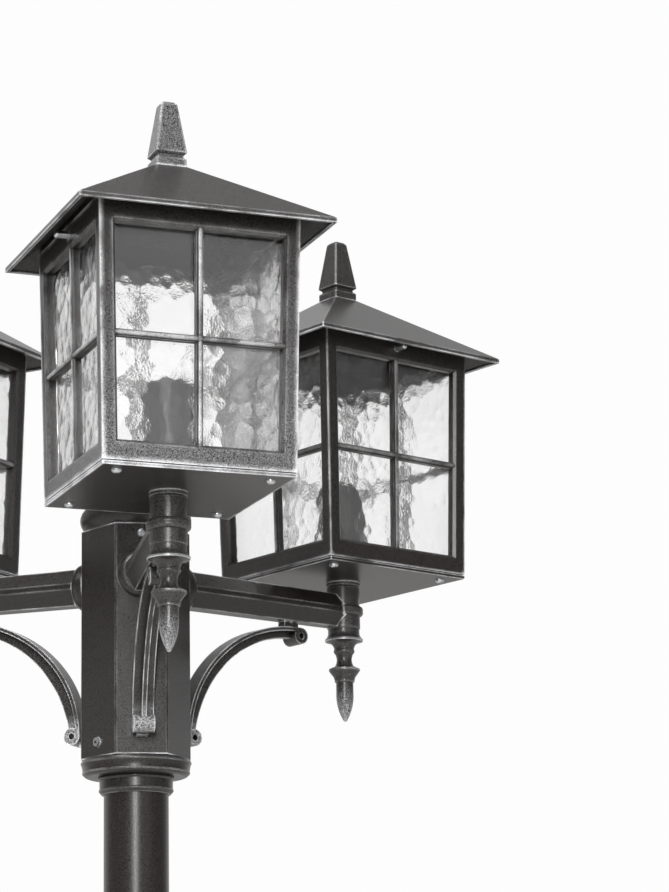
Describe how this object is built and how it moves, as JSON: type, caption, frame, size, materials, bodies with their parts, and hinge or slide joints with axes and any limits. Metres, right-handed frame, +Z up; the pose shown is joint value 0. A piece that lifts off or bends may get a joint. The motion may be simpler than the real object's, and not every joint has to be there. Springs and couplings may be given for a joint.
{
  "type": "garden lamp post",
  "caption": "Tall garden lamp post whose braced arms carry square glazed lanterns with pyramid roofs.",
  "frame": {"origin": "the pole's axis at the underside of the foot, on the ground", "axes": "+Z up the pole, -Y along the front arm, +X to the right seen from the front"},
  "size_m": [0.7599, 0.6798, 2.1902],
  "materials": {
    "post_black": "cast, black hammered coating with silver patina",
    "tube_black": "steel tube, black hammered coating",
    "plain_black": "black coating",
    "screw_steel": "bright zinc",
    "pane": "clear rippled glass",
    "lampholder": "black phenolic",
    "shell": "bare brass",
    "terminal": "moulded nylon"
  },
  "bodies": {
    "post": {"base_foot": "post_black", "base_screws": "screw_steel", "pole_tube": "tube_black", "hub_collar": "post_black", "hub_body": "post_black", "hub_set_screw": "screw_steel", "hub_cap": "post_black", "cap_screws": "screw_steel", "terminal_block": "terminal", "arm_nuts": "screw_steel", "brace_pins": "screw_steel", "front_arm": "post_black", "front_rosette": "post_black", "front_holder": "post_black", "front_brace": "post_black", "right_arm": "post_black", "right_rosette": "post_black", "right_holder": "post_black", "right_brace": "post_black", "left_arm": "post_black", "left_rosette": "post_black", "left_holder": "post_black", "left_brace": "post_black"},
    "front_lantern": {"front_plate": "post_black", "front_plate_screws": "screw_steel", "front_frame": "post_black", "front_panes": "pane", "front_corner_clips": "plain_black", "front_thumb_screws": "screw_steel", "front_nipple": "screw_steel", "front_lampholder": "lampholder", "front_screw_shell": "shell"},
    "front_lid": {"front_roof": "post_black", "front_finial": "post_black", "front_finial_nut": "screw_steel"},
    "right_lantern": {"right_plate": "post_black", "right_plate_screws": "screw_steel", "right_frame": "post_black", "right_panes": "pane", "right_corner_clips": "plain_black", "right_thumb_screws": "screw_steel", "right_nipple": "screw_steel", "right_lampholder": "lampholder", "right_screw_shell": "shell"},
    "right_lid": {"right_roof": "post_black", "right_finial": "post_black", "right_finial_nut": "screw_steel"},
    "left_lantern": {"left_plate": "post_black", "left_plate_screws": "screw_steel", "left_frame": "post_black", "left_panes": "pane", "left_corner_clips": "plain_black", "left_thumb_screws": "screw_steel", "left_nipple": "screw_steel", "left_lampholder": "lampholder", "left_screw_shell": "shell"},
    "left_lid": {"left_roof": "post_black", "left_finial": "post_black", "left_finial_nut": "screw_steel"}
  },
  "joints": [
    {"name": "front_swivel", "type": "hinge", "parent": "post", "child": "front_lantern", "pos_m": [0, -0.255, 1.836], "axis": [0, 0, 1], "range_deg": [-90, 90]},
    {"name": "front_roof_lift", "type": "slide", "parent": "front_lantern", "child": "front_lid", "axis": [0, 0, 1], "range_m": [0, 0.15]},
    {"name": "right_swivel", "type": "hinge", "parent": "post", "child": "right_lantern", "pos_m": [0.22084, 0.1275, 1.836], "axis": [0, 0, 1], "range_deg": [-90, 90]},
    {"name": "right_roof_lift", "type": "slide", "parent": "right_lantern", "child": "right_lid", "axis": [0, 0, 1], "range_m": [0, 0.15]},
    {"name": "left_swivel", "type": "hinge", "parent": "post", "child": "left_lantern", "pos_m": [-0.22084, 0.1275, 1.836], "axis": [0, 0, 1], "range_deg": [-90, 90]},
    {"name": "left_roof_lift", "type": "slide", "parent": "left_lantern", "child": "left_lid", "axis": [0, 0, 1], "range_m": [0, 0.15]}
  ]
}
